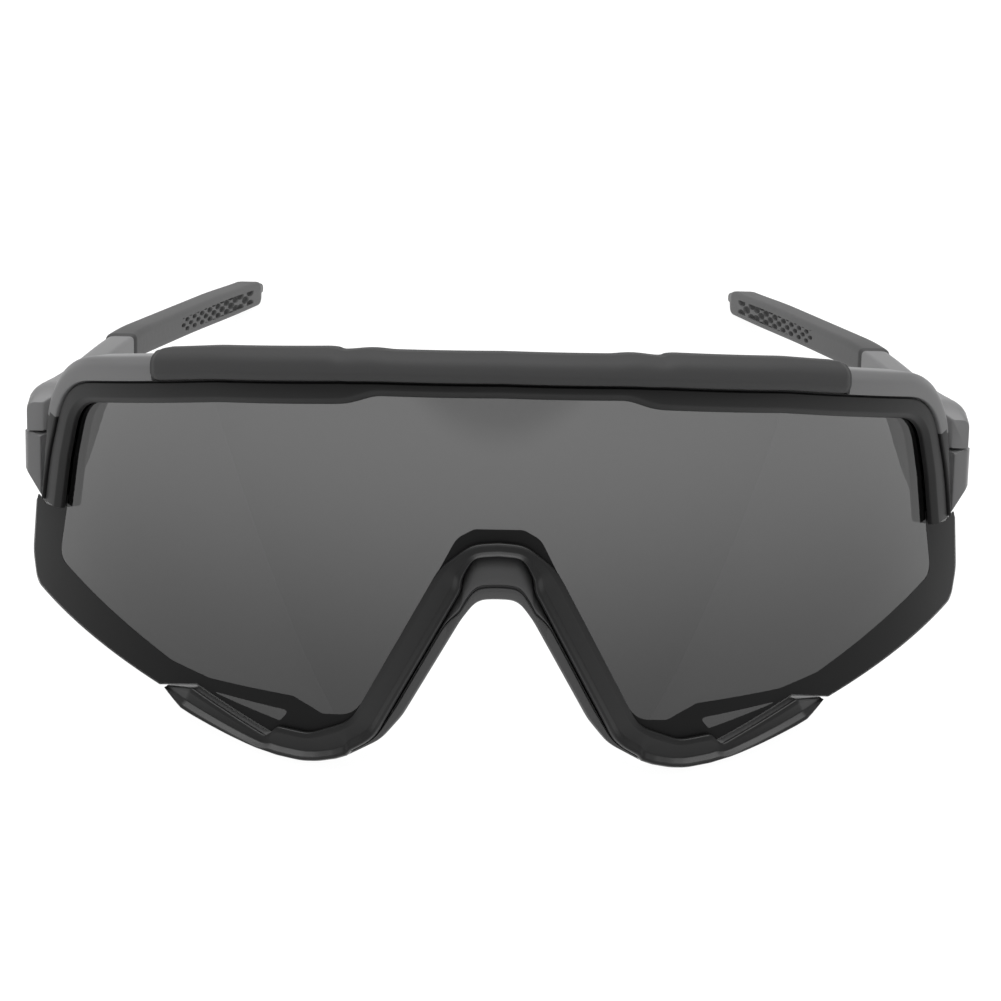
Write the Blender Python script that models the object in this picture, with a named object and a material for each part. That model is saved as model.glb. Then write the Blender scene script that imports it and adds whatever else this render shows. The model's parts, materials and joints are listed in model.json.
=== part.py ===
# Wraparound sport sunglasses: shield lens, front bar, lower rim, nose pad and two folding arms.
# Lengths below are millimetres in the wearer's frame: X across, Y back along the arms, Z up.
# The whole object is then tipped so it rests on the rim's two lobes and the two arm tips.
import bpy
import bmesh
from math import sin, cos, pi, radians, atan2, sqrt
from mathutils import Vector, Matrix

for old in list(bpy.data.objects):
    bpy.data.objects.remove(old, do_unlink=True)

MM = 0.001

# ---- driving dimensions -------------------------------------------------
FACE_R = 85.5            # radius of the lens's front face, upright cylinder
LENS_T = 1.6             # lens thickness
GAP = 0.3                # clearance between fitted pieces
STANCE = radians(19.708)   # how far the arms slope when it stands
SET_BACK = -65.269       # centres the tipped object over its origin
LIFT = 33.79             # raises the tipped object onto its feet

GRIP = 1.5               # how far the frame laps over the lens
BAR_FRONT = -1.7         # lip face, in front of the lens face
BAR_BACK = 3.8           # back of the bar, behind the lens face
BAR_TALL = 5.0           # bar height above the lens edge, at the shoulders
PAD_HALF = 52.4          # half length of the brow pad along the face

HINGE_X = 68.3
HINGE_Y = 38.0
BLOCK_TOP = 8.4
BLOCK_LOW = -2.4
SLOT_LOW = 1.2
SLOT_TOP = 5.6
KNUCKLE_R = 4.0

COLLAR_Y = 70.0          # where the hard arm meets its rubber sleeve
TIP_Y = 143.5
ARM_T = 4.8              # arm thickness
TOE = 0.225              # arms close in by this much per unit of length

PARTS = bpy.data.collections.new("sport_sunglasses")
CUTTERS = bpy.data.collections.new("cutters")
bpy.context.scene.collection.children.link(PARTS)
bpy.context.scene.collection.children.link(CUTTERS)


# ---- materials ----------------------------------------------------------
def material(name, colour, rough, metal=0.0, alpha_like=0.0):
    mat = bpy.data.materials.new(name)
    mat.use_nodes = True
    shader = mat.node_tree.nodes["Principled BSDF"]
    shader.inputs["Base Color"].default_value = (*colour, 1.0)
    shader.inputs["Roughness"].default_value = rough
    shader.inputs["Metallic"].default_value = metal
    shader.inputs["Transmission Weight"].default_value = alpha_like
    return mat


def hard_black(name):
    return material(name, (0.12, 0.12, 0.121), 0.42)


def soft_black(name):
    return material(name, (0.05, 0.05, 0.051), 0.72)


def smoke_lens(name):
    return material(name, (0.10, 0.10, 0.11), 0.06, 0.0, 0.5)


def steel(name):
    return material(name, (0.55, 0.55, 0.56), 0.3, 1.0)


def slip_white(name):
    return material(name, (0.75, 0.74, 0.70), 0.5)


# ---- outlines -----------------------------------------------------------
def rounded(points, step=12.0):
    """Open outline from (x, y, radius) corners; each radius becomes an arc."""
    out = [Vector(points[0][:2])]
    for before, corner, after in zip(points, points[1:], points[2:]):
        here = Vector(corner[:2])
        back = Vector(before[:2]) - here
        on = Vector(after[:2]) - here
        radius = corner[2]
        turn = pi - back.angle(on)
        if radius <= 0.0 or turn < 0.02:
            out.append(here)
            continue
        reach = radius * abs(sin(turn / 2) / cos(turn / 2))
        reach = min(reach, 0.48 * back.length, 0.48 * on.length)
        start = here + back.normalized() * reach
        end = here + on.normalized() * reach
        count = max(2, int(turn / radians(step)) + 1)
        for i in range(count + 1):
            t = i / count
            a = start.lerp(here, t)
            b = here.lerp(end, t)
            out.append(a.lerp(b, t))
    out.append(Vector(points[-1][:2]))
    return out


def spaced(path, gap):
    """Adds points so no step of an outline is longer than gap."""
    out = [path[0]]
    for a, b in zip(path, path[1:]):
        count = max(1, int((b - a).length / gap + 0.999))
        for i in range(1, count + 1):
            out.append(a.lerp(b, i / count))
    return out


def wrap(s, d, z):
    """Point s round the lens face, d behind it, z up."""
    angle = s / FACE_R
    radius = FACE_R - d
    return Vector((radius * sin(angle), FACE_R - radius * cos(angle), z))


# ---- mesh helpers -------------------------------------------------------
def settle(bm, shift, mirror):
    """Outward faces, then mirror, shift to the piece's own origin and scale to metres."""
    bmesh.ops.recalc_face_normals(bm, faces=bm.faces)
    if bm.calc_volume(signed=True) < 0.0:
        bmesh.ops.reverse_faces(bm, faces=bm.faces)
    if mirror:
        for v in bm.verts:
            v.co.x = -v.co.x
        bmesh.ops.reverse_faces(bm, faces=bm.faces)
    for v in bm.verts:
        if shift is not None:
            v.co = v.co - shift
        v.co = v.co * MM


def finish_mesh(bm, name, mat, smooth=30.0, shift=None, mirror=False, parent=None):
    bmesh.ops.remove_doubles(bm, verts=bm.verts, dist=0.01)
    settle(bm, shift, mirror)
    mesh = bpy.data.meshes.new(name)
    bm.to_mesh(mesh)
    bm.free()
    mesh.materials.append(mat)
    obj = bpy.data.objects.new(name, mesh)
    PARTS.objects.link(obj)
    mesh.shade_smooth()
    mesh.set_sharp_from_angle(angle=radians(smooth))
    obj.parent = parent
    return obj


def loft(rings):
    """Closed body through rings of equal count, capped at both ends."""
    bm = bmesh.new()
    loops = [[bm.verts.new(p) for p in ring] for ring in rings]
    size = len(loops[0])
    for a, b in zip(loops, loops[1:]):
        for i in range(size):
            j = (i + 1) % size
            bm.faces.new((a[i], a[j], b[j], b[i]))
    bm.faces.new(list(reversed(loops[0])))
    bm.faces.new(loops[-1])
    return bm


def prism(outline, low, high):
    """Upright body from a plan outline."""
    bm = bmesh.new()
    verts = [bm.verts.new((p[0], p[1], low)) for p in outline]
    face = bm.faces.new(verts)
    grown = bmesh.ops.extrude_face_region(bm, geom=[face])
    tops = [g for g in grown["geom"] if isinstance(g, bmesh.types.BMVert)]
    bmesh.ops.translate(bm, verts=tops, vec=(0, 0, high - low))
    return bm


def drum(radius, low, high, x, y, sides=24):
    bm = bmesh.new()
    spot = Matrix.Translation((x, y, (low + high) / 2))
    bmesh.ops.create_cone(bm, cap_ends=True, segments=sides, radius1=radius,
                          radius2=radius, depth=high - low, matrix=spot)
    return bm


def slab(x0, x1, y0, y1, z0, z1):
    bm = bmesh.new()
    bmesh.ops.create_cube(bm, size=1.0)
    for v in bm.verts:
        v.co = Vector((x0 + (v.co.x + 0.5) * (x1 - x0),
                       y0 + (v.co.y + 0.5) * (y1 - y0),
                       z0 + (v.co.z + 0.5) * (z1 - z0)))
    return bm


def join(first, *others):
    for other in others:
        mesh = bpy.data.meshes.new("joined")
        other.to_mesh(mesh)
        other.free()
        first.from_mesh(mesh)
        bpy.data.meshes.remove(mesh)
    return first


def cutter(bm, name, shift=None, mirror=False, parent=None):
    settle(bm, shift, mirror)
    mesh = bpy.data.meshes.new(name)
    bm.to_mesh(mesh)
    bm.free()
    obj = bpy.data.objects.new(name, mesh)
    CUTTERS.objects.link(obj)
    obj.display_type = "WIRE"
    obj.hide_render = True
    obj.parent = parent
    return obj


def boolean(obj, tool, how="DIFFERENCE"):
    mod = obj.modifiers.new(tool.name, "BOOLEAN")
    mod.operation = how
    mod.solver = "EXACT"
    mod.object = tool


# ---- placing ------------------------------------------------------------
stance = bpy.data.objects.new("stance", None)
PARTS.objects.link(stance)
stance.rotation_euler = (-STANCE, 0.0, 0.0)
stance.location = (0.0, SET_BACK * MM, LIFT * MM)

HINGE = Vector((HINGE_X, HINGE_Y, 0.0))


def pivot(name, side):
    empty = bpy.data.objects.new(name, None)
    PARTS.objects.link(empty)
    empty.parent = stance
    empty.location = Vector((side * HINGE_X, HINGE_Y, 0.0)) * MM
    return empty


PIVOT = {1: pivot("temple_left_hinge", 1), -1: pivot("temple_right_hinge", -1)}


def side_name(base, side):
    return base + ("_left" if side > 0 else "_right")


def arm_mesh(bm, base, side, mat, smooth=30.0):
    """Piece that swings with an arm, its origin on the hinge line."""
    hinge = Vector((side * HINGE_X, HINGE_Y, 0.0))
    return finish_mesh(bm, side_name(base, side), mat, smooth, hinge, side < 0, PIVOT[side])


def front_mesh(bm, base, side, mat, smooth=30.0):
    return finish_mesh(bm, side_name(base, side), mat, smooth, None, side < 0, stance)


# ---- lens ---------------------------------------------------------------
# Half outline of the lens, (round the face, up, corner radius), from the top down.
LENS_HALF = [
    (0.0, 22.7, 0), (18.0, 22.4, 6), (22.0, 21.0, 6), (42.0, 19.6, 0), (71.2, 16.0, 11),
    (74.6, 6.0, 0), (76.6, -2.75, 0.8), (81.5, -2.75, 0.5), (84.8, -2.7, 0.8), (86.4, -11.5, 6),
    (85.0, -16.2, 3), (53.4, -26.1, 0.4), (46.4, -24.9, 0.5), (33.6, -30.36, 3),
    (27.0, -31.0, 6), (19.8, -28.2, 7), (6.9, -4.0, 5), (3.6, -0.75, 4), (0.0, -0.5, 0)]


def build_lens():
    half = rounded(LENS_HALF, 16.0)
    outline = half + [Vector((-p.x, p.y)) for p in reversed(half[1:-1])]
    bm = bmesh.new()
    bm.faces.new([bm.verts.new((p.x, 0.0, p.y)) for p in outline])
    for i in range(-20, 21):
        bmesh.ops.bisect_plane(bm, geom=bm.verts[:] + bm.edges[:] + bm.faces[:],
                               plane_co=(i * 4.3, 0, 0), plane_no=(1, 0, 0), dist=0.02)
    bmesh.ops.remove_doubles(bm, verts=bm.verts, dist=0.05)
    grown = bmesh.ops.extrude_face_region(bm, geom=bm.faces[:])
    back = [g for g in grown["geom"] if isinstance(g, bmesh.types.BMVert)]
    bmesh.ops.translate(bm, verts=back, vec=(0, LENS_T, 0))
    for v in bm.verts:
        v.co = wrap(v.co.x, v.co.y, v.co.z)
    return finish_mesh(bm, "lens", smoke_lens("smoke_lens"), 35.0, parent=stance)


# ---- swept bars that hold the lens --------------------------------------
def stations(path):
    """(point, outward normal) along an outline that runs clockwise round the lens."""
    out = []
    for i, p in enumerate(path):
        a = path[max(i - 1, 0)]
        b = path[min(i + 1, len(path) - 1)]
        run = (b - a).normalized()
        out.append((p, Vector((-run.y, run.x))))
    return out


def ease(value, low, high):
    t = min(1.0, max(0.0, (value - low) / (high - low)))
    return t * t * (3 - 2 * t)


BAR_HALF = [(0.0, 22.7, 0), (18.0, 22.4, 6), (22.0, 21.0, 6), (42.0, 19.6, 0),
            (71.2, 16.0, 11), (74.6, 6.0, 0), (76.5, -2.2, 0)]


def pad_top(s):
    """Top of the brow pad above the lens edge; its upper line stays smooth."""
    return BAR_TALL - 0.1 + 1.6 * ease(abs(s), 15.0, 25.0)


def bar_section(s, z):
    """Bar section at a place on the lens edge, as (outward, behind the face)."""
    covered = abs(s) < PAD_HALF + 0.2
    down = ease(12.0 - z, 0.0, 12.0)
    seam = 0.5 + 1.2 * ease(abs(s), 17.0, 23.0)
    seam = seam + 0.5 * down
    top = BAR_TALL + 0.4 - 2.5 * down
    face = BAR_FRONT - 0.3
    if covered:
        top = pad_top(s) - 1.9
        face = BAR_FRONT + 0.8
    rise = top - seam - 0.2
    return [
        (-GRIP, -GAP), (-GRIP, BAR_FRONT + 0.8), (-GRIP + 0.6, BAR_FRONT + 0.1),
        (seam - 0.25, BAR_FRONT), (seam - 0.2, BAR_FRONT + 0.6),
        (seam + 0.15, BAR_FRONT + 0.6), (seam + 0.2, face + 0.2), (top - 0.85 * rise, face),
        (top - 0.3 * rise, face), (top - 0.08 * rise, face + 0.5), (top, face + 1.3),
        (top, BAR_BACK - 0.7), (top - 0.7, BAR_BACK), (-0.8, BAR_BACK),
        (-GRIP, BAR_BACK - 0.8), (-GRIP, LENS_T + GAP), (GAP, LENS_T + GAP), (GAP, -GAP)]


def bar_path():
    half = spaced(rounded(BAR_HALF, 15.0), 6.0)
    edge = PAD_HALF + 0.2
    out = []
    for a, b in zip(half, half[1:]):
        out.append(a)
        if a.x < edge < b.x:
            t = (edge - a.x) / (b.x - a.x)
            out.append(a.lerp(b, t - 0.02))
            out.append(a.lerp(b, t + 0.02))
    out.append(half[-1])
    return [Vector((-p.x, p.y)) for p in reversed(out[1:])] + out


def sweep(path, section):
    rings = []
    for p, out in stations(path):
        ring = []
        for w, d in section(p.x, p.y):
            ring.append(wrap(p.x + w * out.x, d, p.y + w * out.y))
        rings.append(ring)
    return loft(rings)


def build_frame_front():
    bm = sweep(bar_path(), bar_section)
    obj = finish_mesh(bm, "frame_front", hard_black("frame_black"), 35.0, parent=stance)
    for side in (1, -1):
        tool = dowel_shape(0.9, 2.9, 3.0)
        boolean(obj, cutter(tool, side_name("cut_dowel", side), None, side < 0, stance))
    return obj


def pad_section(s, z):
    """Brow pad section: laps over the bar's face and top."""
    seam = 0.5 + 1.2 * ease(abs(s), 17.0, 23.0)
    inner_top = pad_top(s) - 1.9 + GAP
    inner_face = BAR_FRONT + 0.8 - GAP
    fade = 0.55 * ease(abs(s), PAD_HALF - 1.2, PAD_HALF)
    top = pad_top(s) - fade
    face = BAR_FRONT - 1.6 + fade
    low = seam + 0.2 + GAP
    return [
        (low, inner_face), (low, face + 1.0), (low + 0.6, face + 0.25),
        (low + 1.6, face), (top - 1.3, face + 0.3), (top - 0.4, face + 1.0),
        (top, face + 2.0), (top, 1.4), (top - 0.4, 2.0), (inner_top, 2.0),
        (inner_top, inner_face)]


def build_brow_pad():
    half = [p for p in spaced(rounded(BAR_HALF, 15.0), 6.0) if p.x < PAD_HALF - 2.0]
    line = (Vector((71.2, 16.0)) - Vector((42.0, 19.6))).normalized()
    for reach in (PAD_HALF - 1.2, PAD_HALF - 0.5, PAD_HALF):
        half.append(Vector((42.0, 19.6)) + line * ((reach - 42.0) / line.x))
    path = [Vector((-p.x, p.y)) for p in reversed(half[1:])] + half
    bm = sweep(path, pad_section)
    return finish_mesh(bm, "brow_pad", soft_black("pad_rubber"), 35.0, parent=stance)


# ---- lower rim ----------------------------------------------------------
RIM_HALF = [(51.2, -22.86, 0), (33.6, -30.36, 3), (27.0, -31.0, 6), (19.8, -28.2, 7),
            (6.9, -4.0, 5), (3.6, -0.75, 4), (0.0, -0.5, 0)]
# how far the rim stands out from the lens edge, by distance round the face
RIM_REACH = [(18.2, 2.75), (19.2, 2.8), (20.7, 2.55), (21.6, 2.55), (22.3, 3.05), (23.9, 3.05),
             (27.0, 2.6), (31.6, 2.6), (33.6, 2.4), (35.5, 2.73), (38.5, 3.16), (41.5, 3.5),
             (44.5, 3.8), (47.5, 3.94), (51.2, 3.95)]


def level(x, stops):
    """Straight-line reading between (place, value) stops."""
    for (a, low), (b, high) in zip(stops, stops[1:]):
        if x < b:
            return low + (high - low) * max(0.0, x - a) / (b - a)
    return stops[-1][1]


def rim_reach(s, z):
    return level(abs(s), RIM_REACH) - 1.75 * ease(z, -5.8, -0.9)


def rim_section(s, z):
    """Rim section: gutter beside the lens, crest near the outer edge. Outboard it lets go
    of the lens to leave the vent slit, then thins away to the tip."""
    arch = ease(z, -6.5, -0.8)
    free = ease(abs(s), 32.0, 34.2)
    tip = min(1.0, max(0.0, (abs(s) - 46.4) / 4.8))
    top = rim_reach(s, z)
    inner = -GRIP + 0.6 * arch + 1.95 * free + 3.23 * tip
    floor = max(GAP, inner + 0.1)
    crest = -2.0 + 0.4 * arch
    wide = top - inner
    lip = min(1.0, 0.3 * wide)
    flat = 1.0 - 0.42 * tip
    shape = [
        (inner, -GAP), (inner, -0.85), (top - 0.8 * wide, -1.0), (top - 1.4 * lip, -1.2),
        (top - 0.8 * lip, crest + 0.3), (top - 0.5 * lip, crest),
        (top - 0.2 * lip, crest + 0.1), (top, crest + 0.6), (top, 2.5),
        (top - 0.16 * wide, 3.3), (top - 0.85 * wide, 3.3), (inner, 2.6),
        (inner, LENS_T + GAP), (floor, LENS_T + GAP), (floor, -GAP)]
    return [(w, 3.3 - (3.3 - d) * flat) for w, d in shape]


def build_lower_rim():
    half = spaced(rounded(RIM_HALF, 16.0), 4.0)
    path = half + [Vector((-p.x, p.y)) for p in reversed(half[:-1])]
    bm = sweep(path, rim_section)
    obj = finish_mesh(bm, "lower_rim", hard_black("rim_black"), 35.0, parent=stance)
    boolean(obj, cutter(slab(-60, 60, -95, -20, -60, 0), "cut_rim_feet"))
    return obj


# ---- nose pad -----------------------------------------------------------
NOSE_NOTCH = [(20.4, -31.75, 0), (16.4, -29.4, 4), (13.4, -25.75, 5), (5.2, -11.2, 4),
              (2.9, -8.1, 4), (0.0, -8.04, 0)]


def resample(path, count):
    """The same outline as evenly spaced points."""
    steps = [(b - a).length for a, b in zip(path, path[1:])]
    total = sum(steps)
    out = []
    for i in range(count):
        left = total * i / (count - 1)
        k = 0
        while k < len(steps) - 1 and left > steps[k]:
            left -= steps[k]
            k += 1
        out.append(path[k].lerp(path[k + 1], min(1.0, left / steps[k])))
    return out


def nose_arch():
    """Rim side of the nose pad: the rim's own outer edge, a clearance away."""
    half = [p for p in spaced(rounded(RIM_HALF, 8.0), 1.5) if p.x < 21.6]
    ends = [half[0] * 2 - half[1]] + half + [Vector((-half[-2].x, half[-2].y))]
    out = []
    for before, p, after in zip(ends, half, ends[2:]):
        run = (after - before).normalized()
        out.append(p + Vector((-run.y, run.x)) * (rim_reach(p.x, p.y) + GAP))
    return out


def nose_section(z):
    """Nose pad section: sloped saddle, groove, lower lip, wing running back. First number
    0 at the rim side, 1 at the notch; second a reach back behind the rim; third depth."""
    arch = ease(z, -12.0, -5.0)
    foot = ease(-z, 18.0, 26.0)
    back = 11.0 - 5.5 * foot - 2.0 * arch
    flare = 2.4 * (1.0 - foot) * (1.0 - arch)
    groove = 0.16 + 0.5 * arch
    return [
        (0.0, 0.0, 3.65), (0.0, 0.0, 0.3), (groove * 0.35, 0.0, -0.6),
        (groove * 0.85, 0.0, -1.05), (groove, 0.0, -0.5), (groove + 0.04, 0.0, -0.5),
        (groove + 0.1, 0.0, -1.0), (0.9, 0.0, -0.7), (1.0, 0.0, 0.2), (0.96, 0.0, 3.0),
        (0.9, flare, back - 0.7), (0.75, flare, back), (0.1, flare, back - 0.4),
        (0.0, 0.9, 4.7), (0.0, 0.9, 3.65)]


def build_nose_pad():
    outer = resample(nose_arch(), 19)
    inner = resample(rounded(NOSE_NOTCH, 15.0), 19)
    outer = outer + [Vector((-p.x, p.y)) for p in reversed(outer[:-1])]
    inner = inner + [Vector((-p.x, p.y)) for p in reversed(inner[:-1])]
    rings = []
    for (a, way), b in zip(stations(outer), inner):
        ring = []
        for w, tuck, d in nose_section(a.y):
            p = a + (b - a) * w - way * tuck
            ring.append(wrap(p.x, d, p.y))
        rings.append(ring)
    return finish_mesh(loft(rings), "nose_pad", soft_black("nose_rubber"), 35.0, parent=stance)


# ---- endpiece blocks ----------------------------------------------------
WALL_ANGLE = 79.5 / FACE_R


def wall_point(d, out=0.0):
    """Plan point on the bar's outer wall, d behind the face."""
    radius = FACE_R - d
    spot = Vector((radius * sin(WALL_ANGLE), FACE_R - radius * cos(WALL_ANGLE)))
    return spot + Vector((cos(WALL_ANGLE), sin(WALL_ANGLE))) * out


def block_plan():
    front = wall_point(-1.6, GAP)
    back = wall_point(3.4, GAP)
    plan = [(front.x, front.y), (72.2, front.y + 0.9), (72.8, 36.0), (71.5, 42.0)]
    for i in range(7):
        turn = radians(90 + i * 15)
        plan.append((HINGE_X + KNUCKLE_R * cos(turn), HINGE_Y + KNUCKLE_R * sin(turn)))
    plan.append((back.x, back.y))
    return plan


def dowel_shape(radius, into_bar, into_block):
    """Dowel lying across the joint between bar and block."""
    mid = wall_point(0.9)
    run = Vector((cos(WALL_ANGLE), sin(WALL_ANGLE), 0.0))
    turn = run.to_track_quat("Z", "Y").to_matrix().to_4x4()
    centre = Vector((mid.x, mid.y, 7.0)) + run * ((into_block - into_bar) / 2)
    bm = bmesh.new()
    bmesh.ops.create_cone(bm, cap_ends=True, segments=16, radius1=radius, radius2=radius,
                          depth=into_block + into_bar, matrix=Matrix.Translation(centre) @ turn)
    return bm


def build_endpiece(side):
    bm = prism(block_plan(), BLOCK_LOW, BLOCK_TOP)
    low_edge = (Vector((72.9, 36.0, 2.9)), Vector((0.85, -0.12, -0.52)).normalized())
    top_edge = (Vector((72.4, 33.4, 8.0)), Vector((-0.2, -0.75, 1.0)).normalized())
    for spot, way in (low_edge, top_edge):
        cut = bmesh.ops.bisect_plane(bm, geom=bm.verts[:] + bm.edges[:] + bm.faces[:],
                                     plane_co=spot, plane_no=way, clear_outer=True)
        rim = [g for g in cut["geom_cut"] if isinstance(g, bmesh.types.BMEdge)]
        bmesh.ops.edgenet_fill(bm, edges=rim)
    obj = front_mesh(bm, "endpiece", side, hard_black(side_name("endpiece_black", side)))
    slot = slab(58, 70.9, 34.9, 46, SLOT_LOW, SLOT_TOP)
    boolean(obj, cutter(slot, side_name("cut_slot", side), None, side < 0, stance))
    bore = drum(0.95, -1.0, 7.7, HINGE_X, HINGE_Y, 20)
    boolean(obj, cutter(bore, side_name("cut_bore", side), None, side < 0, stance))
    sink = drum(1.6, -6.0, -0.4, HINGE_X, HINGE_Y, 20)
    boolean(obj, cutter(sink, side_name("cut_sink", side), None, side < 0, stance))
    hole = dowel_shape(0.9, 2.0, 2.7)
    boolean(obj, cutter(hole, side_name("cut_pin", side), None, side < 0, stance))
    return obj


def build_dowel(side):
    bm = dowel_shape(0.75, 2.4, 2.4)
    return front_mesh(bm, "endpiece_dowel", side, steel(side_name("dowel_steel", side)))


# ---- hinges -------------------------------------------------------------
def leaf_plan(reach):
    """Rounded leaf about the hinge, running forward into the block."""
    plan = [(HINGE_X + 2.3, HINGE_Y - reach), (HINGE_X + 2.3, HINGE_Y)]
    for i in range(1, 8):
        turn = radians(i * 22.5)
        plan.append((HINGE_X + 2.3 * cos(turn), HINGE_Y + 2.3 * sin(turn)))
    plan.append((HINGE_X - 2.3, HINGE_Y))
    plan.append((HINGE_X - 2.3, HINGE_Y - 1.2))
    plan.append((HINGE_X - 0.5, HINGE_Y - reach))
    return plan


def build_bracket(side):
    """U bracket lining the block's slot."""
    low = SLOT_LOW + 0.12
    high = SLOT_TOP - 0.12
    bm = prism(leaf_plan(2.8), low, high)
    obj = front_mesh(bm, "hinge_bracket", side, steel(side_name("bracket_steel", side)))
    throat = slab(60, 76, HINGE_Y - 2.45, 50, low + 0.6, high - 0.6)
    boolean(obj, cutter(throat, side_name("cut_throat", side), None, side < 0, stance))
    bore = drum(0.95, low - 1, high + 1, HINGE_X, HINGE_Y, 20)
    boolean(obj, cutter(bore, side_name("cut_bracket_bore", side), None, side < 0, stance))
    return obj


def build_screw(side):
    bm = drum(0.78, -0.6, 7.5, HINGE_X, HINGE_Y, 24)
    obj = front_mesh(bm, "hinge_screw", side, steel(side_name("screw_steel", side)))
    head = drum(1.35, -1.5, -0.55, HINGE_X, HINGE_Y, 24)
    boolean(obj, cutter(head, side_name("add_head", side), None, side < 0, stance), "UNION")
    notch = slab(HINGE_X - 2, HINGE_X + 2, HINGE_Y - 0.22, HINGE_Y + 0.22, -2.0, -1.15)
    boolean(obj, cutter(notch, side_name("cut_notch", side), None, side < 0, stance))
    return obj


def build_washer(base, side, low):
    bm = drum(2.0, low, low + 0.28, HINGE_X, HINGE_Y, 24)
    obj = arm_mesh(bm, base, side, slip_white(side_name(base + "_nylon", side)))
    bore = drum(0.95, low - 1, low + 1, HINGE_X, HINGE_Y, 20)
    hinge = Vector((side * HINGE_X, HINGE_Y, 0.0))
    boolean(obj, cutter(bore, side_name("cut_" + base, side), hinge, side < 0, PIVOT[side]))
    return obj


EYE_LOW = 2.45
EYE_TOP = 4.35


def build_eye(side):
    """Eye leaf: ring on the screw, tail let into the arm."""
    plan = []
    for i in range(14):
        turn = radians(145 + i * 20.0)
        plan.append((HINGE_X + 2.1 * cos(turn), HINGE_Y + 2.1 * sin(turn)))
    plan.append((HINGE_X + 1.3, HINGE_Y + 3.4))
    plan.append((HINGE_X + 0.6, HINGE_Y + 8.6))
    plan.append((HINGE_X - 1.2, HINGE_Y + 8.6))
    plan.append((HINGE_X - 0.9, HINGE_Y + 3.4))
    bm = prism(plan, EYE_LOW, EYE_TOP)
    obj = arm_mesh(bm, "hinge_eye", side, steel(side_name("eye_steel", side)))
    hinge = Vector((side * HINGE_X, HINGE_Y, 0.0))
    bore = drum(0.95, EYE_LOW - 1, EYE_TOP + 1, HINGE_X, HINGE_Y, 20)
    boolean(obj, cutter(bore, side_name("cut_eye", side), hinge, side < 0, PIVOT[side]))
    return obj


# ---- arms ---------------------------------------------------------------
def outer_x(y):
    """Outer face of an arm: straight run closing in toward the tip."""
    return 72.9 - TOE * max(0.0, y - 34.5)


def arm_top(y):
    return 15.4 + 3.1 * ease(y, 40.0, 80.0) - 0.4 * ease(y, 115.0, 140.0)


def arm_low(y):
    return -1.9 + 16.2 * ease(y, 41.0, 70.0)


def ring_box(y, x_in, x_out, low, high, r):
    """Rounded upright section with eight points and softened corners."""
    return [Vector(p) for p in (
        (x_in + r, y, low), (x_out - r, y, low), (x_out - 0.3 * r, y, low + 0.3 * r),
        (x_out, y, low + r), (x_out, y, high - r), (x_out - 0.3 * r, y, high - 0.3 * r),
        (x_out - r, y, high), (x_in + r, y, high), (x_in + 0.3 * r, y, high - 0.3 * r),
        (x_in, y, high - r), (x_in, y, low + r), (x_in + 0.3 * r, y, low + 0.3 * r))]


def build_temple(side):
    rings = []
    front = wall_point(-1.0, GAP + 0.1)
    ends = [(front.y, 1.9, 3.6), (front.y + 0.8, 3.3, 1.4), (front.y + 2.4, 4.6, 0.4),
            (front.y + 4.6, 5.6, 0.0)]
    for y, rise, tuck in ends:
        line = wall_point(-1.0 + (y - front.y) / 0.61, GAP + 0.1)
        x_in = min(max(line.x, 66.2), front.x)
        rings.append(ring_box(y, x_in, outer_x(y) - tuck * 0.5, BLOCK_TOP + GAP,
                              BLOCK_TOP + GAP + rise, 0.5))
    wall = HINGE_Y + KNUCKLE_R + 0.4
    for y in (39.5, wall - 0.03):
        rings.append(ring_box(y, 66.2, outer_x(y), BLOCK_TOP + GAP, arm_top(y), 0.8))
    for y in (wall, 45.0, 49.0, 53.0, 57.0, 61.0, 65.0, COLLAR_Y - GAP):
        thin = ARM_T + 0.7 * (1 - ease(y, 42.0, 60.0))
        rings.append(ring_box(y, outer_x(y) - thin, outer_x(y), arm_low(y), arm_top(y), 0.9))
    obj = arm_mesh(loft(rings), "temple", side, hard_black(side_name("temple_black", side)))
    hinge = Vector((side * HINGE_X, HINGE_Y, 0.0))
    pocket = slab(HINGE_X - 1.45, HINGE_X + 1.6, 41.0, HINGE_Y + 8.9, EYE_LOW - 0.25,
                  EYE_TOP + 0.25)
    boolean(obj, cutter(pocket, side_name("cut_pocket", side), hinge, side < 0, PIVOT[side]))
    core = core_shape(60.7, 76.0, GAP)
    boolean(obj, cutter(core, side_name("cut_core", side), hinge, side < 0, PIVOT[side]))
    return obj


def core_shape(start, end, grow=0.0):
    """Flat spine running down the middle of an arm."""
    rings = []
    count = max(2, int((end - start) / 9.0) + 1)
    for i in range(count + 1):
        y = start + (end - start) * i / count
        mid = outer_x(y) - ARM_T / 2
        mid_z = sleeve_top(y) - 2.4
        rings.append([Vector((mid - 0.8 - grow, y, mid_z - 1.0 - grow)),
                      Vector((mid + 0.8 + grow, y, mid_z - 1.0 - grow)),
                      Vector((mid + 0.8 + grow, y, mid_z + 1.0 + grow)),
                      Vector((mid - 0.8 - grow, y, mid_z + 1.0 + grow))])
    return loft(rings)


def sleeve_top(y):
    return arm_top(y) + 0.25


def sleeve_low(y):
    return 14.05 - 0.3 * ease(y, 95.0, 130.0)


def build_core(side):
    bm = core_shape(61.0, 132.0)
    return arm_mesh(bm, "temple_core", side, steel(side_name("core_steel", side)))


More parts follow.
